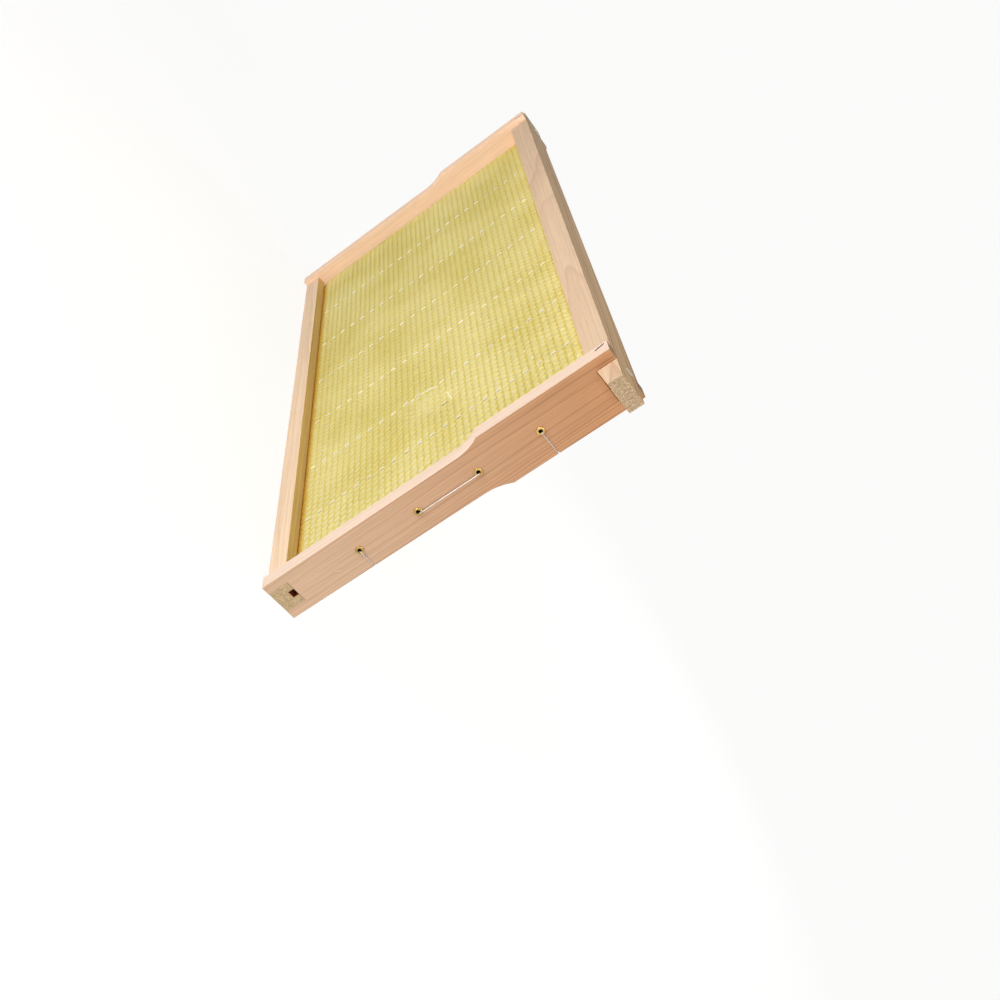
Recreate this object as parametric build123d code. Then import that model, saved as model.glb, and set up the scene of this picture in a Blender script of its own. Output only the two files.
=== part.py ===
"""A deep hive frame with a wired wax sheet: four bars, eight eyelets, staples, tacks and wires.

Millimetres. +X runs along the top bar, +Z is up and +Y goes through the comb's thickness.
The origin is the middle of the frame, level with the underside of the bottom bar.
"""

from build123d import *
import math
import os

# Driving sizes of the whole frame
FRAME_LENGTH = 448.0       # over the outer faces of the end bars
FRAME_HEIGHT = 232.0       # bottom bar's underside to top bar's upper face
TOP_BAR_LENGTH = 483.0     # lug tip to lug tip

# End bars: wide at the top, where neighbouring frames touch, and narrow below
END_BAR_THICKNESS = 10.0
END_BAR_WIDE = 35.0
END_BAR_NARROW = 27.0
SHOULDER_HEIGHT = 149.0    # lowest point of the wide part
SHOULDER_TAPER = 16.0      # length of the hollow curve below the shoulder

# Top bar
TOP_BAR_WIDTH = 27.0
TOP_BAR_HEIGHT = 15.0
TOP_GROOVE_DEPTH = 5.0
LUG_WIDTH = 21.0
LUG_ROOT_HEIGHT = 12.0     # at the end bar
LUG_TIP_HEIGHT = 9.0

# Bottom bar
BOTTOM_BAR_WIDTH = 20.0
BOTTOM_BAR_HEIGHT = 13.0
BOTTOM_TENON_WIDTH = 15.0
BOTTOM_GROOVE_DEPTH = 3.5
GROOVE_WIDTH = 4.5

# Wax sheet, which leans on the -Y side of its grooves
WAX_THICKNESS = 2.6
WAX_CENTRE_Y = -0.8
WAX_SIDE_GAP = 1.0         # to each end bar
WAX_EDGE_GAP = 0.5         # to the floor of each groove

# Crimped wires inside the wax sheet
CRIMPED_COUNT = 6
CRIMPED_PITCH = 61.2
CRIMPED_OFFSET = 7.0       # middle of the set, along X
CRIMPED_RADIUS = 0.25
CRIMP_LENGTH = 9.35        # one full wave, two rows of cells
CRIMP_DEPTH = 1.15         # wave's height either side of the wax sheet's middle
CRIMP_FLAT = 2.9           # straight stretch on each crest

# Lacing wire and the eyelets it runs through
EYELET_FIRST = 58.0        # height of the lowest row
EYELET_PITCH = 40.0
EYELET_COUNT = 4
EYELET_BORE = 1.25         # radii
EYELET_BARREL = 1.6
EYELET_FLANGE = 2.5
EYELET_FLANGE_HEIGHT = 0.8
EYELET_LENGTH = 8.0
EYELET_ROLL = 0.35
LACING_RADIUS = 0.275
LACING_Y = 0.95            # the wire lies against the +Y face of the wax sheet
LACING_BEND = 0.5

# Where each end of the lacing wire is tacked down, on the +Y edge of the right end bar
TACK_INSET = 4.5           # from the end bar's outer face
TACK_HEAD_RADIUS = 2.0
TACK_HEAD_HEIGHT = 0.8
TACK_SHANK_RADIUS = 0.6
TACK_LENGTH = 10.0
NICK_WIDTH = 0.8
NICK_DEPTH = 1.55
TAIL_DEPTH = 1.2           # wire's middle below the edge's surface

# Staples
STAPLE_CROWN = 6.0
STAPLE_WIDTH = 1.1
STAPLE_THICKNESS = 0.7
STAPLE_SUNK = 0.1          # depth of the other staples' crowns under the wood's surface
TOP_STAPLE_LEG = 25.0
EAR_STAPLE_LEG = 14.0
BOTTOM_STAPLE_LEG = 25.0
TOP_STAPLE_INSET = 4.5     # from the end bar's outer face
TOP_STAPLE_Y = 2.4
TOP_STAPLE_TURN = 20.0     # degrees, crown away from square across the bar
TOP_STAPLE_PROUD = 0.75    # rise of the crown's top above the top bar
EAR_STAPLE_INSET = 7.5
EAR_STAPLE_DROP = 4.8      # middle of the crown below the top face
EAR_STAPLE_LEAN = 15.0     # degrees, crown's upper end towards the middle of the frame
BOTTOM_STAPLE_INSET = 5.0

CLEARANCE = 0.02           # between metal and the hole that it sits in
FLOOR_CLEARANCE = 0.05     # under the point of a fastener

# Sizes worked out from the driving ones
HALF_LENGTH = FRAME_LENGTH / 2
INNER_X = HALF_LENGTH - END_BAR_THICKNESS
GROOVE_FLOOR = BOTTOM_BAR_HEIGHT - BOTTOM_GROOVE_DEPTH
GROOVE_ROOF = FRAME_HEIGHT - TOP_BAR_HEIGHT + TOP_GROOVE_DEPTH
WAX_BOTTOM = GROOVE_FLOOR + WAX_EDGE_GAP
WAX_TOP = GROOVE_ROOF - WAX_EDGE_GAP
EYELET_HEIGHTS = [EYELET_FIRST + EYELET_PITCH * row for row in range(EYELET_COUNT)]
CRIMPED_PLACES = [
    CRIMPED_OFFSET + CRIMPED_PITCH * (column - (CRIMPED_COUNT - 1) / 2)
    for column in range(CRIMPED_COUNT)
]
RIGHT, LEFT = 1, -1        # the +X and the -X end of the frame
BACK, FRONT = 1, -1        # the +Y and the -Y face of the frame


def block(low, high):
    """A box between two opposite corners."""
    size = [b - a for a, b in zip(low, high)]
    middle = [(a + b) / 2 for a, b in zip(low, high)]
    return Pos(*middle) * Box(*size)


def centred_block(width_x, width_y, low_z, high_z, x=0.0):
    """A box centred on Y = 0 between two heights."""
    return block((x - width_x / 2, -width_y / 2, low_z), (x + width_x / 2, width_y / 2, high_z))


def edge_of_end_bar(height):
    """Half the end bar's width at a height on its narrow or its wide part."""
    return (END_BAR_WIDE if height > SHOULDER_HEIGHT else END_BAR_NARROW) / 2


# Wires


def round_wire(points, radius, bend):
    """A round wire along straight runs, with every corner bent to the same radius."""
    path = FilletPolyline(*points, radius=bend)
    start = Plane(origin=path @ 0, z_dir=path % 0)
    return sweep(start * Circle(radius), path=path)


def crimped_wire(x, radius=CRIMPED_RADIUS):
    """A wire bent into flat-topped waves through the thickness of the wax sheet."""
    half_wave = CRIMP_LENGTH / 2
    half_waves = int((WAX_TOP - WAX_BOTTOM) / half_wave)
    points = []
    for wave in range(half_waves):
        side = BACK if wave % 2 else FRONT
        low = WAX_BOTTOM + wave * half_wave
        for height in (low, low + CRIMP_FLAT):
            points.append((x, WAX_CENTRE_Y + side * CRIMP_DEPTH, height))
    path = Polyline(*points)
    start = Plane(origin=points[0], z_dir=(0, 0, 1))
    return sweep(start * Circle(radius), path=path, transition=Transition.RIGHT)


def lacing_path():
    """Points of the one wire that laces both end bars, from tack to tack."""
    outside = HALF_LENGTH + EYELET_FLANGE_HEIGHT + LACING_RADIUS + 0.025
    resting = HALF_LENGTH + LACING_RADIUS + 0.075
    under_tack = HALF_LENGTH - TACK_INSET + TACK_SHANK_RADIUS + 0.1

    def tail(height):
        """From the nick at the tack to the face of the eyelet."""
        sunk = edge_of_end_bar(height) - TAIL_DEPTH
        return [
            (under_tack, sunk, height),
            (resting, sunk, height),
            (outside, LACING_Y + EYELET_FLANGE, height),
        ]

    runs = []
    for row, height in enumerate(EYELET_HEIGHTS):
        first, last = (outside, -outside) if row % 2 == 0 else (-outside, outside)
        runs += [(first, LACING_Y, height), (last, LACING_Y, height)]
    return tail(EYELET_HEIGHTS[0]) + runs + tail(EYELET_HEIGHTS[-1])[::-1]


def frame_wire():
    """The lacing wire, taut between the end bars."""
    return round_wire(lacing_path(), LACING_RADIUS, LACING_BEND)


# Small metal parts


def eyelet(side, height):
    """A brass tube with a rolled flange, pushed into the end bar from outside."""
    barrel = Pos(0, 0, -EYELET_LENGTH / 2) * Cylinder(EYELET_BARREL, EYELET_LENGTH)
    flange = Pos(0, 0, EYELET_FLANGE_HEIGHT / 2) * Cylinder(EYELET_FLANGE, EYELET_FLANGE_HEIGHT)
    bore = Cylinder(EYELET_BORE, 4 * EYELET_LENGTH)
    body = barrel + flange - bore
    rims = body.edges().filter_by(GeomType.CIRCLE).filter_by_position(
        Axis.Z, EYELET_FLANGE_HEIGHT, EYELET_FLANGE_HEIGHT
    )
    body = fillet(rims, EYELET_ROLL)
    return Pos(side * HALF_LENGTH, 0, height) * Rot(0, side * 90, 0) * body


def eyelet_hole(side, height):
    """The hole through an end bar that an eyelet's barrel sits in."""
    hole = Cylinder(EYELET_BARREL + CLEARANCE, 4 * END_BAR_THICKNESS)
    return Pos(side * HALF_LENGTH, 0, height) * Rot(0, 90, 0) * hole


def staple(leg, grow=0.0):
    """A staple with its crown along X, topped out at Z = 0, and legs down -Z; grow swells it."""
    outer = STAPLE_CROWN / 2 + grow
    inner = STAPLE_CROWN / 2 - STAPLE_THICKNESS - grow
    half_width = STAPLE_WIDTH / 2 + grow
    crown_top = grow + (STAPLE_SUNK if grow else 0.0)
    points_down = -leg - (FLOOR_CLEARANCE if grow else 0.0)
    body = block((-outer, -half_width, points_down), (outer, half_width, crown_top))
    crown_under = -STAPLE_THICKNESS - grow
    between = block((-inner, -2 * half_width, 2 * points_down), (inner, 2 * half_width, crown_under))
    return body - between


def top_staple(side, grow=0.0):
    """Driven down through the lug's root into the end bar, its crown left standing proud."""
    x = side * (HALF_LENGTH - TOP_STAPLE_INSET)
    turn = Rot(0, 0, 90 + side * TOP_STAPLE_TURN)
    return Pos(x, TOP_STAPLE_Y, FRAME_HEIGHT + TOP_STAPLE_PROUD) * turn * staple(TOP_STAPLE_LEG, grow)


def ear_staple(side, face, grow=0.0):
    """Driven through one ear of the end bar into the lug's root, crown nearly upright."""
    x = side * (HALF_LENGTH - EAR_STAPLE_INSET)
    y = face * (END_BAR_WIDE / 2 - STAPLE_SUNK)
    lay_down = Rot(-face * 90, 0, 0) * Rot(0, 0, 90 - face * side * EAR_STAPLE_LEAN)
    return Pos(x, y, FRAME_HEIGHT - EAR_STAPLE_DROP) * lay_down * staple(EAR_STAPLE_LEG, grow)


def bottom_staple(side, grow=0.0):
    """Driven up through the bottom bar's tenon into the end bar."""
    x = side * (HALF_LENGTH - BOTTOM_STAPLE_INSET)
    upside_down = Rot(180, 0, 0) * Rot(0, 0, 90)
    return Pos(x, 0, STAPLE_SUNK) * upside_down * staple(BOTTOM_STAPLE_LEG, grow)


def wire_tack(height, grow=0.0):
    """A small nail over one end of the lacing wire, its head flush with the wood."""
    head = Pos(0, 0, -TACK_HEAD_HEIGHT / 2) * Cylinder(TACK_HEAD_RADIUS + grow, TACK_HEAD_HEIGHT)
    depth = TACK_LENGTH + (FLOOR_CLEARANCE if grow else 0.0)
    shank = Pos(0, 0, -depth / 2) * Cylinder(TACK_SHANK_RADIUS + grow, depth)
    x = HALF_LENGTH - TACK_INSET
    return Pos(x, edge_of_end_bar(height), height) * Rot(-90, 0, 0) * (head + shank)


def wire_nick(height):
    """The saw nick in the end bar's edge that the end of the lacing wire lies in."""
    edge = edge_of_end_bar(height)
    return block(
        (HALF_LENGTH - TACK_INSET, edge - NICK_DEPTH, height - NICK_WIDTH / 2),
        (HALF_LENGTH + 1, edge + 1, height + NICK_WIDTH / 2),
    )


# Wooden bars


def end_bar_outline():
    """The end bar's outline in Y and Z, before its two notches are cut."""
    wide, narrow = END_BAR_WIDE / 2, END_BAR_NARROW / 2
    step = wide - narrow
    taper_low = SHOULDER_HEIGHT - SHOULDER_TAPER
    curve_radius = (SHOULDER_TAPER ** 2 + step ** 2) / (2 * step)
    half_angle = math.asin(SHOULDER_TAPER / curve_radius) / 2
    curve_y = narrow + curve_radius * (1 - math.cos(half_angle))
    curve_z = taper_low + curve_radius * math.sin(half_angle)
    right_side = [
        Line((narrow, 0), (narrow, taper_low)),
        ThreePointArc((narrow, taper_low), (curve_y, curve_z), (wide, SHOULDER_HEIGHT)),
        Line((wide, SHOULDER_HEIGHT), (wide, FRAME_HEIGHT)),
    ]
    left_side = [mirror(part, about=Plane.YZ) for part in right_side]
    ends = [Line((-narrow, 0), (narrow, 0)), Line((-wide, FRAME_HEIGHT), (wide, FRAME_HEIGHT))]
    return make_face(right_side + left_side + ends)


def end_bar(side):
    """An upright bar with open notches for the lug and the bottom bar, and four eyelet holes."""
    face = Plane(origin=(side * INNER_X, 0, 0), x_dir=(0, side, 0), z_dir=(side, 0, 0))
    bar = extrude(face * end_bar_outline(), END_BAR_THICKNESS)
    through = 4 * END_BAR_THICKNESS
    x = side * HALF_LENGTH
    bar -= centred_block(through, LUG_WIDTH, FRAME_HEIGHT - LUG_ROOT_HEIGHT, FRAME_HEIGHT + 1, x)
    bar -= centred_block(through, BOTTOM_TENON_WIDTH, -1, BOTTOM_BAR_HEIGHT, x)
    for height in EYELET_HEIGHTS:
        bar -= eyelet_hole(side, height)
    for pocket in (top_staple, bottom_staple):
        bar -= pocket(side, CLEARANCE)
    for edge in (FRONT, BACK):
        bar -= ear_staple(side, edge, CLEARANCE)
    if side == RIGHT:
        for height in (EYELET_HEIGHTS[0], EYELET_HEIGHTS[-1]):
            bar -= wire_tack(height, CLEARANCE)
            bar -= wire_nick(height)
    return bar


def lug_outline():
    """One end of the top bar in X and Z, from the end bar's inner face to the lug's tip."""
    under_root = FRAME_HEIGHT - LUG_ROOT_HEIGHT
    return Polyline(
        (INNER_X, FRAME_HEIGHT),
        (INNER_X, under_root),
        (HALF_LENGTH, under_root),
        (TOP_BAR_LENGTH / 2, FRAME_HEIGHT - LUG_TIP_HEIGHT),
        (TOP_BAR_LENGTH / 2, FRAME_HEIGHT),
        close=True,
    )


def top_bar():
    """The top bar, full width between the end bars, with a narrower tapering lug at each end."""
    bar = centred_block(2 * INNER_X, TOP_BAR_WIDTH, FRAME_HEIGHT - TOP_BAR_HEIGHT, FRAME_HEIGHT)
    outline = Plane.XZ * make_face(lug_outline())
    lug = extrude(outline, LUG_WIDTH / 2, both=True)
    bar += lug + mirror(lug, about=Plane.YZ)
    groove_low = FRAME_HEIGHT - TOP_BAR_HEIGHT - 1
    bar -= centred_block(TOP_BAR_LENGTH, GROOVE_WIDTH, groove_low, GROOVE_ROOF)
    for side in (RIGHT, LEFT):
        bar -= top_staple(side, CLEARANCE)
        for face in (FRONT, BACK):
            bar -= ear_staple(side, face, CLEARANCE)
    return bar


def bottom_bar():
    """The bottom bar, grooved along its upper face, with a narrower tenon at each end."""
    bar = centred_block(2 * INNER_X, BOTTOM_BAR_WIDTH, 0, BOTTOM_BAR_HEIGHT)
    bar += centred_block(FRAME_LENGTH, BOTTOM_TENON_WIDTH, 0, BOTTOM_BAR_HEIGHT)
    bar -= centred_block(2 * FRAME_LENGTH, GROOVE_WIDTH, GROOVE_FLOOR, BOTTOM_BAR_HEIGHT + 1)
    for side in (RIGHT, LEFT):
        bar -= bottom_staple(side, CLEARANCE)
    return bar


def wax_foundation():
    """The wax sheet, from groove to groove, cast round its crimped wires."""
    half_width = INNER_X - WAX_SIDE_GAP
    sheet = block(
        (-half_width, WAX_CENTRE_Y - WAX_THICKNESS / 2, WAX_BOTTOM),
        (half_width, WAX_CENTRE_Y + WAX_THICKNESS / 2, WAX_TOP),
    )
    for x in CRIMPED_PLACES:
        sheet -= crimped_wire(x, CRIMPED_RADIUS + CLEARANCE)
    return sheet


def hive_frame():
    """Every piece of the frame, by name."""
    pieces = {
        "top_bar": top_bar(),
        "bottom_bar": bottom_bar(),
        "end_bar_right": end_bar(RIGHT),
        "end_bar_left": end_bar(LEFT),
        "wax_foundation": wax_foundation(),
        "frame_wire": frame_wire(),
    }
    for column, x in enumerate(CRIMPED_PLACES, start=1):
        pieces[f"foundation_wire_{column}"] = crimped_wire(x)
    for end, side in (("right", RIGHT), ("left", LEFT)):
        for row, height in enumerate(EYELET_HEIGHTS, start=1):
            pieces[f"eyelet_{end}_{row}"] = eyelet(side, height)
        pieces[f"top_staple_{end}"] = top_staple(side)
        pieces[f"bottom_staple_{end}"] = bottom_staple(side)
        for name, face in (("front", FRONT), ("back", BACK)):
            pieces[f"ear_staple_{end}_{name}"] = ear_staple(side, face)
    pieces["wire_tack_lower"] = wire_tack(EYELET_HEIGHTS[0])
    pieces["wire_tack_upper"] = wire_tack(EYELET_HEIGHTS[-1])
    return pieces


os.makedirs("parts", exist_ok=True)
for name, piece in hive_frame().items():
    piece.label = name
    export_step(piece, f"parts/{name}.step")
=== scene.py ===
"""The look of a wired deep hive frame: wooden bars, embossed wax, crimped wires, brass eyelets.

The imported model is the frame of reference. Lengths named in millimetres are turned into metres
by MM. +X runs along the top bar, -Y is the face of the wax that the camera sees, +Z is up.
"""

import math

import bmesh
import bpy
import numpy as np
from mathutils import Matrix, Vector, noise

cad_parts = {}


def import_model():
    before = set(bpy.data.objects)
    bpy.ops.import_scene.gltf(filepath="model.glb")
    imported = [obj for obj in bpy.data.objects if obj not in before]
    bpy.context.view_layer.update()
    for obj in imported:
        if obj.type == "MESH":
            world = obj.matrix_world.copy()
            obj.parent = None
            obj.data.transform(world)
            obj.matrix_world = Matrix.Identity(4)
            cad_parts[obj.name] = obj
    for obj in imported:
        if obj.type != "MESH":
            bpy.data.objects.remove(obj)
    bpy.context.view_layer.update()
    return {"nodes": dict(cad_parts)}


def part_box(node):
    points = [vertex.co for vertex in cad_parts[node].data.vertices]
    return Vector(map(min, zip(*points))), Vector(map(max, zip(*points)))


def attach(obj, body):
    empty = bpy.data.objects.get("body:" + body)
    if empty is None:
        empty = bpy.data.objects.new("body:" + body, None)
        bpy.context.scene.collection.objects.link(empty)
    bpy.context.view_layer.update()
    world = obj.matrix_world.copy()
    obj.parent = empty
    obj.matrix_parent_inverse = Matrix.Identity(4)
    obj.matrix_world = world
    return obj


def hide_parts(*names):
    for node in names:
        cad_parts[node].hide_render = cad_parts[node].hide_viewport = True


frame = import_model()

MM = 0.001
BODY = "root"
FRONT, BACK = -1, 1        # the -Y and the +Y face of the frame

# Camera, in metres; its lens and sensor in millimetres
CAMERA_PLACE = Vector((0.7693, -0.2884, 0.3018))
CAMERA_AIM = Vector((0.2620, 0.0, 0.1482))
CAMERA_UP = Vector((-0.5351, -0.6615, 0.5255))
CAMERA_LENS = 43.55
CAMERA_SENSOR = 36.0

# Cells of the wax, in millimetres
CELL = 5.4                 # across the flats of one cell
CELL_SIDE = CELL / math.sqrt(3)
ROW = CELL * math.sqrt(3) / 2
CORNERS = 6
CELL_POINTS = 2 * CORNERS + 1
RIB_HALF = 0.72            # half the thickness of the wax between two cells' floors
RIB_STEP = 0.20            # how far the floors' corners rise and fall about the middle
WALL_FOOT = 0.90           # from a wall's middle to where it meets the floor
FLOOR_SAG = 0.05           # spread of the floors' depths
FLOOR_SEEDS = {FRONT: 7, BACK: 8}
FACET_ANGLE = math.radians(30)

# Bulge of the hung sheet towards -Y: its height in millimetres, how fast it grows from the grooves,
# and its swells, each as a share, millimetres per radian along X and along Z, and a start
BULGE = 0.9
BULGE_POWER = 0.7
SWELLS = ((0.45, 61.0, math.inf, 0.6), (0.30, 27.0, -55.0, 1.1), (0.25, 90.0, 31.0, 0.0))

# Patch where the wax was pressed flat and cracked, in millimetres on the sheet
PATCH_X, PATCH_Z = 119.0, 111.0
PATCH_LONG, PATCH_SHORT = 20.0, 13.0
PATCH_TURN = math.radians(50)
PATCH_FULL, PATCH_GONE = 0.75, 1.15    # shares of its size between which it fades out
PATCH_PRESSED = 0.72       # share of the cells' depth that is lost in its middle
LUMP_HEIGHT = 0.55
LUMP_SCALE = 0.33          # lumps per millimetre
LUMP_SLICE = 4.0           # place of the sheet in the noise that makes the lumps

# Marks on the wax, each a line from one place on the sheet to another
# The tear is painted dark, as the shade inside its slit.
TEAR = ((132.4, 121.0), (132.1, 124.4))
CRACKS = (((118.9, 124.4), (131.5, 127.5)), ((131.5, 127.5), (136.2, 121.7)))
FLAKES = (((125.0, 169.5), (127.0, 170.8)), ((133.0, 180.5), (135.2, 179.6)),
          ((146.0, 184.5), (148.2, 183.6)), ((138.2, 209.2), (139.6, 210.8)))

# Crimped wires, in millimetres; columns are counted from -X
CRIMP_LENGTH = 2 * ROW
CRIMP_RADIUS = 0.29
CRIMP_REACH = 1.12         # wave's height either side of its middle
CRIMP_SQUARENESS = 9.0
CRIMP_SHARE_CUT = 0.3      # higher leaves less of each wave on the -Y side
CRIMP_STEPS = 28           # along one wave
WIRE_SIDES = 8
WIRE_FORWARD = 0.30        # wave's middle in front of the sheet's
PROUD_FORWARD = 0.45
PROUD_COLUMNS = (3, 6)     # wires that lie nearer to the sheet's front face
OUTER_COLUMNS = (1, 6)     # wires that only waver sideways
WANDER = 3.0               # how far the others stray, halfway up
WANDER_POWER = 0.6
WAVER = 0.3                # quick, small straying of every wire
WAVER_LENGTH = 23.0        # per radian
KINKED_COLUMN = 5          # the wire that runs past the pressed patch
KINK_REACH = 18.0          # how far along the wire the kinks die out
KINK_SWAY = 3.0
KINK_LENGTH = 8.0          # per radian
KINK_START = 2.0
KINK_FLATTENED = 0.8       # share of the wave's height that is lost
KINK_FORWARD = 0.95

# Bars, in millimetres
ARRIS = 0.28               # eased width of the bars' long edges
LONG_EDGE = 7.0            # edges shorter than this belong to pockets and stay sharp
SLIM_HALF = 13.49          # beyond this from the middle, short edges lie on an end bar's shoulder
LUG_HALF, LUG_ROOT = 10.5, 220.0       # half width and underside of a lug in its notch
TENON_HALF = 7.5           # half width of the bottom bar's ends
BOTTOM_BAR_TOP = 13.0
GROOVE_HALF, GROOVE_FLOOR = 2.25, 9.5  # half width and floor of the bottom bar's groove
GROOVE_SHADE_HEIGHT = 4.5         # of the wax painted a darker amber as shade, above the bottom bar
CHIP = ((3.0, 38.6), (4.4, 41.0))      # chip in the right end bar, ends along Y and Z

# Tolerances in millimetres, and angles of folds in the bars' meshes
BAR_WELD = 0.002
WAX_WELD = 0.01
WAX_CUT = 0.0001
SAME_PLACE = 0.001
SAME_SIDE = 0.01
FLAT_ANGLE = math.radians(1)
FOLD_ANGLE = math.radians(30)

# Stage, in linear light and metres
BACKDROP = (0.96, 0.96, 0.955, 1.0)
BACKDROP_FELT = 0.5        # its share when it lights the frame instead of being seen
FLOOR_SHADE = (0.25, 0.25, 0.25, 1.0)
FLOOR_GLOW = (0.84, 0.84, 0.835, 1.0)
FLOOR_HALF = 30.0
FLOOR_SEGMENTS = 8
FLOOR_DROP = 0.0002        # below the frame's underside
FADE_START, FADE_END = 0.35, 0.9       # from the frame's foot, floor into backdrop
WORLD_FELT = (0.15, 0.143, 0.133, 1.0)
LAMP_AIM = Vector((0.0, 0.0, 0.116))


# ---------------------------------------------------------------- the CAD's nodes


def in_mm(node):
    """The low and high corners of a CAD node's box, in millimetres."""
    return [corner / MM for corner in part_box(node)]


def named(*starts):
    """The CAD nodes whose names start in one of these ways, in order."""
    return sorted(n for n in frame["nodes"] if n.startswith(starts))


# ---------------------------------------------------------------- node graphs


class Graph:
    """Builds the nodes of a new material or world, its owner.

    An input given as a socket is linked, and any other is a value.
    """

    def __init__(self, owner):
        self.owner = owner
        owner.use_nodes = True
        self.tree = owner.node_tree
        self.tree.nodes.clear()

    def add(self, kind, inputs=None, **settings):
        made = self.tree.nodes.new("ShaderNode" + kind)
        for key, value in settings.items():
            setattr(made, key, value)
        for key, value in (inputs or {}).items():
            if isinstance(value, bpy.types.NodeSocket):
                self.tree.links.new(value, made.inputs[key])
            else:
                made.inputs[key].default_value = value
        return made

    def math(self, operation, first, second=0.0):
        return self.add("Math", {0: first, 1: second}, operation=operation).outputs[0]

    def plus(self, first, second):
        return self.math("ADD", first, second)

    def minus(self, first, second):
        return self.math("SUBTRACT", first, second)

    def times(self, first, second):
        return self.math("MULTIPLY", first, second)

    def unsigned(self, value):
        """A value without its sign."""
        return self.math("ABSOLUTE", value)

    def hypotenuse(self, first, second):
        return self.math("SQRT", self.plus(self.times(first, first), self.times(second, second)))

    def noise(self, vector, scale, detail=3.0, roughness=0.5):
        inputs = {"Vector": vector, "Scale": scale, "Detail": detail, "Roughness": roughness}
        return self.add("TexNoise", inputs).outputs["Fac"]

    def spread(self, value, low, high, to_low=0.0, to_high=1.0):
        """Maps low..high smoothly onto to_low..to_high, held at both ends."""
        inputs = {0: value, 1: low, 2: high, 3: to_low, 4: to_high}
        return self.add("MapRange", inputs, interpolation_type="SMOOTHSTEP").outputs[0]

    def mix(self, factor, first, second, blend="MIX"):
        """Mixes two colours; 6, 7 and 2 are the Mix node's colour sockets."""
        made = self.add("Mix", {0: factor, 6: first, 7: second}, data_type="RGBA", blend_type=blend)
        return made.outputs[2]

    def bump(self, height, strength, distance):
        inputs = {"Height": height, "Strength": strength, "Distance": distance}
        return self.add("Bump", inputs).outputs[0]

    def place(self):
        """The place on the object in millimetres, as a vector socket."""
        here = self.add("TexCoord").outputs["Object"]
        inputs = {0: here, 1: (1 / MM, 1 / MM, 1 / MM)}
        return self.add("VectorMath", inputs, operation="MULTIPLY").outputs[0]

    def parts(self, vector):
        """The three sockets of a vector, under X, Y and Z."""
        return self.add("SeparateXYZ", {0: vector}).outputs

    def from_line(self, first, second, line):
        """Distance on a face from a line between two places, in millimetres."""
        start, end = line
        length = math.dist(start, end)
        run = [(b - a) / length for a, b in zip(start, end)]
        away = [self.minus(value, a) for value, a in zip((first, second), start)]
        ahead = self.plus(self.times(away[0], run[0]), self.times(away[1], run[1]))
        aside = self.minus(self.times(away[0], run[1]), self.times(away[1], run[0]))
        held = self.math("MINIMUM", self.math("MAXIMUM", ahead, 0.0), length)
        return self.hypotenuse(aside, self.minus(ahead, held))

    def finish(self, shader):
        kind = "OutputWorld" if isinstance(self.owner, bpy.types.World) else "OutputMaterial"
        self.add(kind, {"Surface": shader})
        return self.owner


def rgb(red, green, blue):
    """A colour given as it looks on screen, 0 to 255, as linear light."""
    def linear(value):
        share = value / 255
        return share / 12.92 if share <= 0.04045 else ((share + 0.055) / 1.055) ** 2.4
    return (linear(red), linear(green), linear(blue), 1.0)


# ---------------------------------------------------------------- wood


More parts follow.
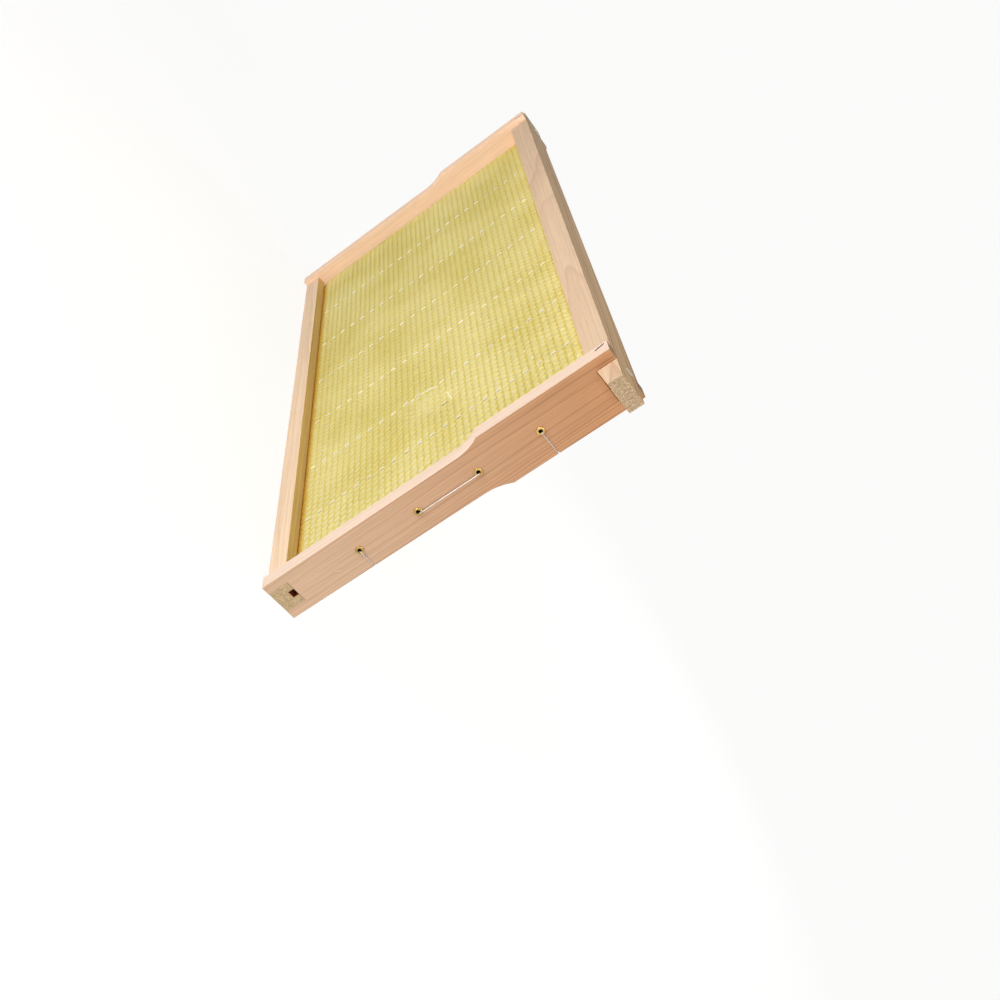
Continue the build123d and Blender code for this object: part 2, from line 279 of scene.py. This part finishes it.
class WoodGraph(Graph):
    """Planed softwood with growth rings about a pith line that runs nearly along the bar.

    grain is the bar's long axis, X or Z. pith is where the tree's middle lies, in millimetres:
    along Y, then along the bar's other short axis. It moves along Y by tilt per millimetre of bar.
    pitch is the width of one ring, and seed sets the bar apart from the others.
    """

    def __init__(self, name, grain, pith, pitch, seed, tilt=0.01):
        super().__init__(bpy.data.materials.new(name))
        self.seed = seed
        here = self.place()
        axes = self.parts(here)
        self.along = axes[grain]
        self.across = axes["Z" if grain == "X" else "X"]
        self.deep = axes["Y"]
        self.height = axes["Z"]
        self.from_middle = self.unsigned(self.deep)
        normal = self.parts(self.add("NewGeometry").outputs["True Normal"])
        self.facing_y = self.unsigned(normal["Y"])
        self.cut_across = self.spread(self.unsigned(normal[grain]), 0.55, 0.85)
        self.fibre = self.noise(self.drawn_out(0.03, 31.0), 2.4, 4.0, 0.6)
        self.streak = self.noise(self.drawn_out(0.012, 57.0), 0.55, 4.0, 0.6)
        self.cloud = self.noise(self.drawn_out(0.3, 83.0), 0.03, 2.0)
        self.pores = self.noise(here, 1.1, 5.0, 0.7)
        self.late = self.late_wood(pith, pitch, tilt)

    def drawn_out(self, squeeze, offset):
        """Coordinates squeezed along the grain, so that a noise over them comes out as streaks."""
        inputs = {0: self.along, 1: squeeze, 2: self.seed + offset}
        squeezed = self.add("Math", inputs, operation="MULTIPLY_ADD").outputs[0]
        return self.add("CombineXYZ", {0: squeezed, 1: self.across, 2: self.deep}).outputs[0]

    def late_wood(self, pith, pitch, tilt):
        """How far into its dark line a year's growth is: a soft rise, then a thin edge."""
        sway = self.times(self.noise(self.drawn_out(0.14, 0.0), 0.05, 2.0), 8.0)
        from_pith = self.plus(self.minus(self.deep, pith[0]), self.times(self.along, tilt))
        away = self.hypotenuse(from_pith, self.minus(self.across, pith[1]))
        rings = self.math("DIVIDE", self.plus(away, sway), pitch)
        turn = self.math("FRACT", rings)
        rise = self.times(self.spread(turn, 0.15, 0.9), self.spread(turn, 1.0, 0.95))
        edge = self.times(self.spread(turn, 0.80, 0.93), self.spread(turn, 1.0, 0.96))
        late = self.plus(self.times(rise, 0.45), self.times(edge, 0.55))
        year = self.add("TexWhiteNoise", {"W": self.math("FLOOR", rings)}, noise_dimensions="1D")
        return self.times(late, self.spread(year.outputs["Value"], 0.2, 1.0, 0.1, 1.0))

    def planed(self, pale, line, contrast, side=None, side_lines=1.0, far_tone=None):
        """The colour of the wood on every face, its ring lines in the colour called line.

        side is the colour of the faces towards Y, whose ring lines are weakened to side_lines. The
        last argument, when given, is the colour that pale turns into towards the bar's far end, where
        the lines grow stronger.
        """
        base = pale
        strength = self.times(self.late, self.spread(self.streak, 0.3, 0.7, 0.6 * contrast, contrast))
        if far_tone is not None:
            base = self.mix(self.spread(self.along, 10.0, 225.0), pale, far_tone)
            strength = self.times(strength, self.spread(self.along, 40.0, 200.0, 0.7, 1.7))
        if side is not None:
            on_side = self.spread(self.facing_y, 0.5, 0.9)
            base = self.mix(on_side, base, side)
            strength = self.times(strength, self.spread(on_side, 0.0, 1.0, 1.0, side_lines))
        return self.toned(self.mix(strength, base, line))

    def toned(self, colour):
        """The colour made a little lighter and darker by fibres, streaks and broad clouds."""
        tone = self.plus(self.spread(self.fibre, 0.25, 0.75, 0.92, 1.04),
                         self.spread(self.streak, 0.3, 0.7, -0.07, 0.05))
        tone = self.plus(tone, self.spread(self.cloud, 0.3, 0.7, -0.04, 0.03))
        grey = self.add("CombineColor", {0: tone, 1: tone, 2: tone}).outputs[0]
        return self.mix(1.0, colour, grey, "MULTIPLY")

    def end_grain(self, colour):
        """Greyer, mottled wood where the bar is cut across."""
        dark, light = rgb(132, 112, 90), rgb(196, 172, 142)
        pitted = self.mix(self.spread(self.pores, 0.35, 0.65), dark, light)
        return self.mix(self.times(self.cut_across, 0.8), colour, pitted)

    def seam(self, colour, half_width, level, sense):
        """A dark outline round a notch that runs up (1) or down (-1) to a level, off the Y faces."""
        beyond_side = self.minus(self.from_middle, half_width)
        beyond_level = self.times(self.minus(self.along, level), sense)
        outline = self.unsigned(self.math("MAXIMUM", beyond_side, beyond_level))
        share = self.times(self.spread(outline, 0.6, 0.15), self.spread(self.facing_y, 0.5, 0.2))
        return self.mix(self.times(share, 0.7), colour, rgb(92, 58, 36))

    def chipped(self, colour, chip):
        """A short chip from one place to another, pale inside a darker rim."""
        rim, split = rgb(150, 104, 72), rgb(240, 212, 182)
        ragged = self.spread(self.pores, 0.3, 0.7, -0.4, 0.4)
        far = self.plus(self.from_line(self.deep, self.along, chip), ragged)
        colour = self.mix(self.spread(far, 1.0, 0.5, 0.0, 0.4), colour, rim)
        return self.mix(self.spread(far, 0.45, 0.25, 0.0, 0.7), colour, split)

    def groove_painted_shade(self, colour, wax_end):
        """Painted shade: dark walls in the groove where it runs on past the end of the wax, for the
        shadow deep inside it.
        """
        inside = self.times(self.spread(self.from_middle, GROOVE_HALF + 0.2, GROOVE_HALF + 0.1),
                            self.spread(self.height, GROOVE_FLOOR - 0.3, GROOVE_FLOOR - 0.2))
        bare = self.spread(self.unsigned(self.along), wax_end, wax_end + 0.5)
        return self.mix(self.times(inside, bare), colour, rgb(130, 62, 38))

    def surface(self, colour):
        """The finished material: matt, with fine relief along the fibres and pits in the end grain."""
        relief = self.plus(self.times(self.fibre, 0.7), self.times(self.late, 0.3))
        pits = self.times(self.times(self.pores, self.cut_across), 3.0)
        inputs = {
            "Base Color": colour,
            "Roughness": self.spread(self.fibre, 0.2, 0.8, 0.55, 0.75),
            "Specular IOR Level": 0.06,
            "Normal": self.bump(self.plus(relief, pits), 0.45, 0.08 * MM),
        }
        return self.finish(self.add("BsdfPrincipled", inputs).outputs[0])


def top_bar_wood():
    """Warm wood with wide, clear rings, cream on its sides."""
    g = WoodGraph("top_bar_wood", "X", pith=(24.0, 226.0), pitch=4.2, seed=3.0, tilt=0.04)
    colour = g.planed(pale=rgb(232, 196, 150), line=rgb(158, 106, 70), contrast=0.9,
                      side=rgb(222, 193, 164), side_lines=0.4)
    return g.surface(g.end_grain(colour))


def bottom_bar_wood():
    """Straw-coloured above, as light off the wax makes it look, and paler on its sides."""
    g = WoodGraph("bottom_bar_wood", "X", pith=(60.0, -30.0), pitch=2.6, seed=19.0)
    colour = g.planed(pale=rgb(244, 212, 146), line=rgb(158, 106, 70), contrast=0.3,
                      side=rgb(236, 208, 178))
    wax_end = in_mm("wax_foundation")[1].x
    # the groove past the wax's end gets painted shade
    return g.surface(g.groove_painted_shade(g.end_grain(colour), wax_end))


def end_bar_seams(g, colour):
    """The outlines of the bottom bar's end and the lug's root in an end bar."""
    colour = g.seam(colour, TENON_HALF, BOTTOM_BAR_TOP, 1.0)
    return g.seam(colour, LUG_HALF, LUG_ROOT, -1.0)


def right_end_bar_wood():
    """Narrow rings that redden and darken towards the top, with one chip.

    Its darker tone on the faces across X, and towards the top, is partly the wood's own and
    partly painted shade.
    """
    g = WoodGraph("end_bar_right_wood", "Z", pith=(-120.0, 186.0), pitch=1.9, seed=41.0)
    colour = g.planed(pale=rgb(211, 177, 147), line=rgb(150, 96, 62), contrast=0.6,
                      side=rgb(232, 207, 188), side_lines=0.2, far_tone=rgb(192, 143, 104))
    return g.surface(g.chipped(end_bar_seams(g, g.end_grain(colour)), CHIP))


def left_end_bar_wood():
    """Pale, rosy wood with faint, wide rings.

    Its paleness is partly the wood's own tone and partly painted light, for the brighter light on
    this far bar.
    """
    g = WoodGraph("end_bar_left_wood", "Z", pith=(50.0, -330.0), pitch=4.2, seed=67.0)
    colour = g.planed(pale=rgb(255, 220, 192), line=rgb(222, 168, 134), contrast=0.3)
    return g.surface(end_bar_seams(g, g.end_grain(colour)))


# ---------------------------------------------------------------- wax and metal


def cell_colour(g, place, mottle):
    """Deeper yellow in the walls than in the floors, both clouded.

    The floors are paler partly because the wax is thinner there and partly as a painted highlight.
    """
    cloud = g.spread(g.noise(place, 0.018, 3.0), 0.35, 0.65)
    wall = g.mix(cloud, rgb(204, 185, 80), rgb(215, 198, 102))
    thin_and_highlight = g.mix(cloud, rgb(209, 196, 126), rgb(219, 208, 152))
    thin_and_highlight = g.mix(g.spread(mottle, 0.35, 0.75, 0.0, 0.35), thin_and_highlight, rgb(226, 220, 182))
    floor_share = g.add("Attribute", attribute_name="floor").outputs["Fac"]
    return g.mix(g.spread(floor_share, 0.3, 1.0), wall, thin_and_highlight)


def wax_damage(g, place, colour):
    """The pressed patch with a pale smear of painted sheen, pale cracks and flakes, and the tear,
    painted dark as the shade in its slit.
    """
    axes = g.parts(place)
    crushed = g.add("Attribute", attribute_name="crushed").outputs["Fac"]
    smeared_sheen = g.times(crushed, g.spread(g.noise(place, 0.4, 5.0, 0.7), 0.48, 0.62))
    # painted sheen on the pressed wax
    colour = g.mix(g.times(smeared_sheen, 0.25), colour, rgb(236, 230, 178))
    ragged = g.spread(g.noise(place, 0.9, 3.0), 0.3, 0.7, -0.35, 0.35)
    for mark in CRACKS + FLAKES:
        far = g.plus(g.from_line(axes["X"], axes["Z"], mark), ragged)
        colour = g.mix(g.spread(far, 0.5, 0.25, 0.0, 0.7), colour, rgb(250, 248, 220))
    # painted shade: the tear's slit is drawn dark
    far = g.plus(g.from_line(axes["X"], axes["Z"], TEAR), ragged)
    return g.mix(g.spread(far, 0.65, 0.35), colour, rgb(78, 66, 28))


def wax_groove_shade(g, place, colour):
    """Painted shade: amber where the sheet goes into the lower groove, for the shadow beside the
    bottom bar.
    """
    share = g.spread(g.parts(place)["Z"], BOTTOM_BAR_TOP + GROOVE_SHADE_HEIGHT, BOTTOM_BAR_TOP)
    return g.mix(share, colour, rgb(186, 136, 26))


def beeswax():
    """Refined yellow wax that lets a little light through."""
    g = Graph(bpy.data.materials.new("beeswax"))
    place = g.place()
    grain = g.noise(place, 3.5, 3.0, 0.6)
    mottle = g.noise(place, 0.35, 4.0, 0.6)
    colour = wax_damage(g, place, cell_colour(g, place, mottle))
    inputs = {
        "Base Color": wax_groove_shade(g, place, colour),
        "Roughness": g.spread(grain, 0.2, 0.8, 0.32, 0.48),
        "Specular IOR Level": 0.4,
        "Normal": g.bump(g.plus(g.times(grain, 0.4), mottle), 0.25, 0.08 * MM),
        "Subsurface Weight": 0.7,
        "Subsurface Radius": (0.9, 0.85, 0.5),
        "Subsurface Scale": 1.0 * MM,
    }
    return g.finish(g.add("BsdfPrincipled", inputs).outputs[0])


def metal(name, colour, dull, rough, scratch, metallic=1.0, bore_shade_from=None):
    """Drawn or pressed metal with fine scratches and dulled areas, and painted shade that goes
    near black inside a bore, inward along X from a given distance.
    """
    g = Graph(bpy.data.materials.new(name))
    place = g.place()
    stain = g.noise(place, 0.6, 4.0, 0.6)
    lines = g.noise(place, 6.0, 2.0, 0.7)
    shade = g.mix(g.spread(stain, 0.35, 0.7), colour, dull)
    if bore_shade_from is not None:
        out = g.unsigned(g.parts(place)["X"])
        # painted shade in the bore
        shade = g.mix(g.spread(out, bore_shade_from, bore_shade_from - 0.5), shade, rgb(12, 9, 6))
    inputs = {
        "Base Color": shade,
        "Metallic": metallic,
        "Roughness": g.spread(stain, 0.3, 0.7, rough, rough + 0.18),
        "Normal": g.bump(lines, scratch, 0.02 * MM),
    }
    return g.finish(g.add("BsdfPrincipled", inputs).outputs[0])


def crimped_steel():
    """The crests of the foundation's wires, which catch the light and look white: a matt white
    paint that is a painted glint.
    """
    return metal("crimped_steel", rgb(255, 254, 250), rgb(250, 248, 242), rough=0.4, scratch=0.1,
                 metallic=0.0)


def wire_steel():
    return metal("wire_steel", rgb(240, 238, 234), rgb(214, 212, 208), rough=0.36, scratch=0.15)


def eyelet_brass():
    """Brass, with painted shade in the bores behind the end bars' outer faces."""
    outer_face = in_mm("end_bar_right")[1].x
    return metal("eyelet_brass", rgb(222, 188, 114), rgb(186, 150, 84), rough=0.2, scratch=0.3,
                 metallic=0.8, bore_shade_from=outer_face)


def staple_steel():
    # Near-white and partly matt: the steel's own colour with a painted reflection of bright
    # surroundings.
    return metal("staple_steel", rgb(246, 246, 242), rgb(214, 214, 212), rough=0.28, scratch=0.2,
                 metallic=0.4)


def staple_steel_painted_dark():
    # The staples' steel painted dark grey: a painted dark reflection, for the dark surroundings that
    # the ear staples face.
    return metal("staple_steel_painted_dark", rgb(92, 88, 90), rgb(64, 60, 62), rough=0.35, scratch=0.3)


# ---------------------------------------------------------------- pieces


def dress(nodes, material):
    """Gives CAD nodes that are kept as they are their material."""
    for node in nodes:
        piece = frame["nodes"][node]
        piece.data.materials.clear()
        piece.data.materials.append(material)


def new_piece(name, mesh, material, node):
    """Links a mesh as a piece that rides on the frame and stands for a CAD node."""
    piece = bpy.data.objects.new(name, mesh)
    bpy.context.scene.collection.objects.link(piece)
    mesh.materials.clear()
    mesh.materials.append(material)
    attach(piece, BODY)
    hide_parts(node)


def eased_bar(node, material):
    """The CAD bar again with its planar faces whole and its long outer edges taken off."""
    low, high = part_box(node)
    bm = bmesh.new()
    bm.from_mesh(frame["nodes"][node].data)
    bmesh.ops.remove_doubles(bm, verts=bm.verts, dist=BAR_WELD * MM)
    bmesh.ops.dissolve_limit(bm, angle_limit=FLAT_ANGLE, verts=bm.verts, edges=bm.edges)
    bmesh.ops.recalc_face_normals(bm, faces=bm.faces)

    def on_shoulder(vert):
        on_side = min(abs(vert.co.x - low.x), abs(vert.co.x - high.x)) < SAME_SIDE * MM
        return on_side and abs(vert.co.y) > SLIM_HALF * MM

    def is_eased(edge):
        if len(edge.link_faces) != 2 or not edge.is_convex or edge.calc_face_angle() < FOLD_ANGLE:
            return False
        return edge.calc_length() > LONG_EDGE * MM or all(on_shoulder(v) for v in edge.verts)

    bmesh.ops.bevel(
        bm, geom=[e for e in bm.edges if is_eased(e)], offset=ARRIS * MM, offset_type="OFFSET",
        segments=2, profile=0.5, affect="EDGES", clamp_overlap=False, loop_slide=True,
    )
    bmesh.ops.triangulate(bm, faces=[f for f in bm.faces if len(f.verts) > 4])
    mesh = bpy.data.meshes.new(node + "_eased")
    bm.to_mesh(mesh)
    bm.free()
    new_piece(node + "_timber", mesh, material, node)


# ---------------------------------------------------------------- wax sheet


def sheet_wave(x, z, low, high):
    """How far the hung sheet bulges along Y at a place on it, nil in the grooves, in millimetres."""
    share = np.clip((z - low) / (high - low), 0.0, 1.0)
    hold = np.sin(math.pi * share) ** BULGE_POWER
    wave = sum(part * np.sin(x / run_x + z / run_z + start) for part, run_x, run_z, start in SWELLS)
    return BULGE * hold * (wave - 1.0) / 2


def patch_share(x, z):
    """1 in the middle of the pressed patch, 0 outside it, with a ragged rim."""
    dx, dz = x - PATCH_X, z - PATCH_Z
    along = dx * math.cos(PATCH_TURN) + dz * math.sin(PATCH_TURN)
    across = dz * math.cos(PATCH_TURN) - dx * math.sin(PATCH_TURN)
    ragged = 0.18 * np.sin(along / 3.1) + 0.14 * np.sin(across / 2.3 + along / 5.0)
    far = np.sqrt((along / PATCH_LONG) ** 2 + (across / PATCH_SHORT) ** 2) + ragged
    return np.clip((PATCH_GONE - far) / (PATCH_GONE - PATCH_FULL), 0.0, 1.0)


def cell_centres(face, x_range, z_range):
    """The middles of one face's cells, a little past the sheet's edges on every side."""
    shift_z = 0.0 if face == FRONT else -CELL_SIDE
    first_row = math.floor((z_range[0] - shift_z) / ROW) - 1
    last_row = math.ceil((z_range[1] - shift_z) / ROW) + 1
    first = math.floor(x_range[0] / CELL) - 1
    last = math.ceil(x_range[1] / CELL) + 1
    rows, columns = np.meshgrid(np.arange(first_row, last_row), np.arange(first, last), indexing="ij")
    x = (columns * CELL + (rows % 2) * CELL / 2).reshape(-1, 1)
    z = (rows * ROW + shift_z).reshape(-1, 1)
    return x, z


def cell_points(face, half_thick, x, z):
    """The vertices of each cell: the corners of its rim, those of its floor, and the floor's middle.

    Going round a cell, its corners are in turn shared corners, where the rib between the two faces
    keeps to the middle, and middles of cells on the other side, where it bulges towards this face.
    Back cells are turned half round.
    """
    turn = 0.0 if face == FRONT else math.pi
    angles = np.radians(90 + 60 * np.arange(CORNERS)) + turn
    ring_x = CELL_SIDE * np.cos(angles)
    ring_z = CELL_SIDE * np.sin(angles)
    foot = (CELL / 2 - WALL_FOOT) / (CELL / 2)
    middle_rib = -face * RIB_STEP
    corner_rib = face * RIB_STEP * (np.arange(CORNERS) % 2)
    foot_rib = middle_rib + foot * (corner_rib - middle_rib)
    rng = np.random.default_rng(FLOOR_SEEDS[face])
    sag = rng.normal(0.0, FLOOR_SAG, x.shape)
    rim_y = np.full((len(x), CORNERS), face * half_thick)
    foot_y = foot_rib + face * RIB_HALF + sag
    floor_y = middle_rib + face * RIB_HALF + sag
    xs = np.concatenate([x + ring_x, x + foot * ring_x, x], 1)
    ys = np.concatenate([rim_y, foot_y, floor_y], 1)
    zs = np.concatenate([z + ring_z, z + foot * ring_z, z], 1)
    return np.stack([xs.ravel(), ys.ravel(), zs.ravel()], 1)


def cell_faces(count):
    """Six walls and a floor in six triangles for each cell, as lists of vertex numbers."""
    base = (np.arange(count) * CELL_POINTS).reshape(-1, 1, 1)
    rim = np.arange(CORNERS)
    after = (rim + 1) % CORNERS
    middle = np.full(CORNERS, 2 * CORNERS)
    walls = base + np.stack([rim, after, CORNERS + after, CORNERS + rim], 1)
    floors = base + np.stack([CORNERS + rim, CORNERS + after, middle], 1)
    return walls.reshape(-1, 4).tolist() + floors.reshape(-1, 3).tolist()


def relief(face, middle_y, half_thick, x_range, z_range):
    """One face of the sheet as a mesh in millimetres, cut off square at the sheet's four edges."""
    x, z = cell_centres(face, x_range, z_range)
    points = cell_points(face, half_thick, x, z) + (0.0, middle_y, 0.0)
    mesh = bpy.data.meshes.new("relief")
    mesh.from_pydata(points.tolist(), [], cell_faces(len(x)))
    side = mesh.attributes.new("side", "INT", "POINT")
    side.data.foreach_set("value", [face] * len(points))
    depth = mesh.attributes.new("floor", "FLOAT", "POINT")
    depth.data.foreach_set("value", ([0.0] * CORNERS + [1.0] * (CORNERS + 1)) * len(x))
    bm = bmesh.new()
    bm.from_mesh(mesh)
    bmesh.ops.remove_doubles(bm, verts=bm.verts, dist=WAX_WELD)
    for axis, limits in ((0, x_range), (2, z_range)):
        for outward, limit in zip((-1, 1), limits):
            place, normal = Vector(), Vector()
            place[axis] = limit
            normal[axis] = outward
            bmesh.ops.bisect_plane(
                bm, geom=bm.verts[:] + bm.edges[:] + bm.faces[:], dist=WAX_CUT, plane_co=place,
                plane_no=normal, clear_outer=True,
            )
    bm.to_mesh(mesh)
    bm.free()
    return mesh


def edge_rows(rim, layer, axis, limit):
    """The front and the back face's vertices where the sheet ends along an axis, each in order."""
    along = 2 - axis
    at_limit = [v for v in rim if abs(v.co[axis] - limit) < SAME_PLACE]
    return [sorted((v for v in at_limit if v[layer] == face), key=lambda v: v.co[along])
            for face in (FRONT, BACK)]


def zip_edges(bm, first, second, along):
    """Triangles between two rows of vertices that run the same way along an axis."""
    i = j = 0
    while i < len(first) - 1 or j < len(second) - 1:
        step_first = j == len(second) - 1
        if i < len(first) - 1 and j < len(second) - 1:
            step_first = first[i + 1].co[along] <= second[j + 1].co[along]
        if step_first:
            bm.faces.new((first[i], first[i + 1], second[j]))
            i += 1
        else:
            bm.faces.new((first[i], second[j + 1], second[j]))
            j += 1


def wax_sheet(material):
    """The embossed sheet: both reliefs, closed round the edge, then waved and pressed."""
    low, high = in_mm("wax_foundation")
    x_range, z_range = (low.x, high.x), (low.z, high.z)
    middle_y, half_thick = (low.y + high.y) / 2, (high.y - low.y) / 2
    bm = bmesh.new()
    for face in (FRONT, BACK):
        mesh = relief(face, middle_y, half_thick, x_range, z_range)
        bm.from_mesh(mesh)
        bpy.data.meshes.remove(mesh)
    layer = bm.verts.layers.int["side"]
    rim = [v for v in bm.verts if v.is_boundary]
    for axis, limits in ((0, x_range), (2, z_range)):
        for limit in limits:
            zip_edges(bm, *edge_rows(rim, layer, axis, limit), along=2 - axis)
    bmesh.ops.recalc_face_normals(bm, faces=bm.faces)
    bmesh.ops.triangulate(bm, faces=[f for f in bm.faces if len(f.verts) > 3])
    mesh = bpy.data.meshes.new("wax_sheet")
    bm.to_mesh(mesh)
    bm.free()
    shape_sheet(mesh, middle_y, z_range)
    mesh.set_sharp_from_angle(angle=FACET_ANGLE)
    new_piece("wax_sheet", mesh, material, "wax_foundation")


def shape_sheet(mesh, middle_y, z_range):
    """Presses the patch, bulges the sheet and turns millimetres into metres."""
    points = np.zeros(len(mesh.vertices) * 3)
    mesh.vertices.foreach_get("co", points)
    x, y, z = points.reshape(-1, 3).T
    patch = patch_share(x, z)
    places = [Vector((a * LUMP_SCALE, LUMP_SLICE, b * LUMP_SCALE)) for a, b in zip(x, z)]
    lumps = np.array([noise.noise(place) for place in places])
    pressed = middle_y + (y - middle_y) * (1 - PATCH_PRESSED * patch)
    y = pressed + patch * LUMP_HEIGHT * lumps + sheet_wave(x, z, *z_range)
    points = np.stack([x, y, z], 1) * MM
    mesh.vertices.foreach_set("co", points.ravel())
    layer = mesh.attributes.new("crushed", "FLOAT", "POINT")
    layer.data.foreach_set("value", patch.astype(np.float32))
    mesh.update()


# ---------------------------------------------------------------- crimped wires


def crimped_path(column, low, high):
    """Points of one crimped wire as it weaves through the bulging sheet, with rounded crests."""
    wax_low, wax_high = in_mm("wax_foundation")
    count = int((high.z - low.z) / CRIMP_LENGTH * CRIMP_STEPS)
    z = low.z + np.arange(count + 1) * CRIMP_LENGTH / CRIMP_STEPS
    share = (z - low.z) / (high.z - low.z)
    phase = 2 * math.pi * (z - low.z) / CRIMP_LENGTH + math.pi / 2
    crest = -np.tanh(CRIMP_SQUARENESS * (np.sin(phase) - CRIMP_SHARE_CUT))
    kink = np.zeros_like(z)
    if column == KINKED_COLUMN:
        kink = np.exp(-((z - PATCH_Z) / KINK_REACH) ** 2)

    straight = (low.x + high.x) / 2
    wander = 0.0 if column in OUTER_COLUMNS else WANDER * np.sin(math.pi * share) ** WANDER_POWER
    waver = WAVER * np.sin(z / WAVER_LENGTH + straight)
    sway = KINK_SWAY * kink * np.sin((z - PATCH_Z + KINK_START) / KINK_LENGTH)
    x = straight + wander + waver + sway

    forward = (PROUD_FORWARD if column in PROUD_COLUMNS else WIRE_FORWARD) + KINK_FORWARD * kink
    depth = CRIMP_REACH * (1 - KINK_FLATTENED * kink) * crest
    y = (wax_low.y + wax_high.y) / 2 - forward + depth + sheet_wave(x, z, wax_low.z, wax_high.z)
    return np.stack([x, y, z], 1) * MM


def tube(name, path, radius):
    """A closed round tube along a list of points."""
    tangents = np.gradient(path, axis=0)
    tangents /= np.linalg.norm(tangents, axis=1)[:, None]
    side = np.array([1.0, 0.0, 0.0])
    verts = []
    for point, tangent in zip(path, tangents):
        across = side - tangent * side.dot(tangent)
        across /= np.linalg.norm(across)
        other = np.cross(tangent, across)
        for k in range(WIRE_SIDES):
            angle = 2 * math.pi * k / WIRE_SIDES
            verts.append(point + radius * (math.cos(angle) * across + math.sin(angle) * other))
    last = (len(path) - 1) * WIRE_SIDES
    faces = []
    for ring in range(0, last, WIRE_SIDES):
        for k in range(WIRE_SIDES):
            a = ring + k
            b = ring + (k + 1) % WIRE_SIDES
            faces.append((a, b, b + WIRE_SIDES, a + WIRE_SIDES))
    faces.append(tuple(range(WIRE_SIDES))[::-1])
    faces.append(tuple(last + k for k in range(WIRE_SIDES)))
    mesh = bpy.data.meshes.new(name)
    mesh.from_pydata([tuple(v) for v in verts], [], faces)
    mesh.shade_smooth()
    return mesh


def foundation_wires(material):
    """The crimped wires, each following the bulge of the sheet it is cast in."""
    for column, node in enumerate(named("foundation_wire"), start=1):
        name = f"crimped_wire_{column}"
        path = crimped_path(column, *in_mm(node))
        new_piece(name, tube(name, path, CRIMP_RADIUS * MM), material, node)


# ---------------------------------------------------------------- stage


def backdrop_strength(graph):
    """Full brightness where the camera sees the backdrop, less where it lights the frame."""
    seen = graph.add("LightPath").outputs["Is Camera Ray"]
    return graph.spread(seen, 0.0, 1.0, BACKDROP_FELT, 1.0)


def floor_paint():
    """Pale and softly shadowed by the frame, fading into the backdrop away from it."""
    g = Graph(bpy.data.materials.new("floor"))
    place = g.add("NewGeometry").outputs["Position"]
    away = g.add("VectorMath", {0: place}, operation="LENGTH").outputs["Value"]
    strength = backdrop_strength(g)
    lit = g.add("BsdfDiffuse", {"Color": FLOOR_SHADE}).outputs[0]
    own = g.add("Emission", {"Color": FLOOR_GLOW, "Strength": strength}).outputs[0]
    near = g.add("AddShader", {0: lit, 1: own}).outputs[0]
    far = g.add("Emission", {"Color": BACKDROP, "Strength": strength}).outputs[0]
    fade = g.spread(away, FADE_START, FADE_END)
    return g.finish(g.add("MixShader", {0: fade, 1: near, 2: far}).outputs[0])


def floor():
    """A wide plane just under the frame."""
    bm = bmesh.new()
    bmesh.ops.create_grid(bm, x_segments=FLOOR_SEGMENTS, y_segments=FLOOR_SEGMENTS, size=FLOOR_HALF)
    mesh = bpy.data.meshes.new("floor")
    bm.to_mesh(mesh)
    bm.free()
    mesh.materials.append(floor_paint())
    plane = bpy.data.objects.new("floor", mesh)
    plane.location.z = -FLOOR_DROP
    bpy.context.scene.collection.objects.link(plane)


def world():
    """Surroundings that light the frame dimly but look pale to the camera."""
    g = Graph(bpy.data.worlds.new("studio"))
    felt = g.add("Background", {"Color": WORLD_FELT}).outputs[0]
    seen = g.add("Background", {"Color": BACKDROP}).outputs[0]
    by_camera = g.add("LightPath").outputs["Is Camera Ray"]
    return g.finish(g.add("MixShader", {0: by_camera, 1: felt, 2: seen}).outputs[0])


def lamp(name, place, power, size=0.6, colour=(1.0, 1.0, 1.0)):
    """A square soft box that faces the middle of the frame: watts, metres and linear light."""
    light = bpy.data.lights.new(name, "AREA")
    light.size = size
    light.energy = power
    light.color = colour
    box = bpy.data.objects.new(name, light)
    box.location = place
    box.visible_camera = False
    box.rotation_mode = "QUATERNION"
    box.rotation_quaternion = (LAMP_AIM - Vector(place)).to_track_quat("-Z", "Y")
    bpy.context.scene.collection.objects.link(box)


def studio():
    """A low warm key in front, with weaker fills at both ends, behind and above."""
    lamp("key", (0.42, -0.92, 0.16), power=8.5, size=0.34, colour=(1.0, 0.985, 0.96))
    lamp("end_fill", (1.1, 0.10, 0.30), power=5.1)
    lamp("far_fill", (-1.2, 0.4, 0.35), power=2.5)
    lamp("back_fill", (-0.2, 1.1, 0.35), power=6.0)
    lamp("top_fill", (0.45, 0.15, 1.0), power=2.2, colour=(1.0, 0.97, 0.93))
    bpy.context.scene.world = world()
    bpy.context.scene.view_settings.view_transform = "Standard"


def camera():
    """A camera at the photograph's viewing angle, leaning with the frame."""
    data = bpy.data.cameras.new("camera")
    data.lens = CAMERA_LENS
    data.sensor_width = CAMERA_SENSOR
    data.clip_start = 0.01
    eye = bpy.data.objects.new("camera", data)
    back = (CAMERA_PLACE - CAMERA_AIM).normalized()
    right = CAMERA_UP.cross(back).normalized()
    up = back.cross(right)
    turn = Matrix((right, up, back)).transposed().to_4x4()
    eye.matrix_world = Matrix.Translation(CAMERA_PLACE) @ turn
    bpy.context.scene.collection.objects.link(eye)
    bpy.context.scene.camera = eye


# ---------------------------------------------------------------- everything


eased_bar("top_bar", top_bar_wood())
eased_bar("bottom_bar", bottom_bar_wood())
eased_bar("end_bar_right", right_end_bar_wood())
eased_bar("end_bar_left", left_end_bar_wood())
wax_sheet(beeswax())
foundation_wires(crimped_steel())
dress(["frame_wire"], wire_steel())
dress(named("eyelet"), eyelet_brass())
dress(named("top_staple", "bottom_staple", "wire_tack"), staple_steel())
# the ear staples take the staples' steel painted dark, a painted dark reflection
dress(named("ear_staple"), staple_steel_painted_dark())
floor()
studio()
camera()
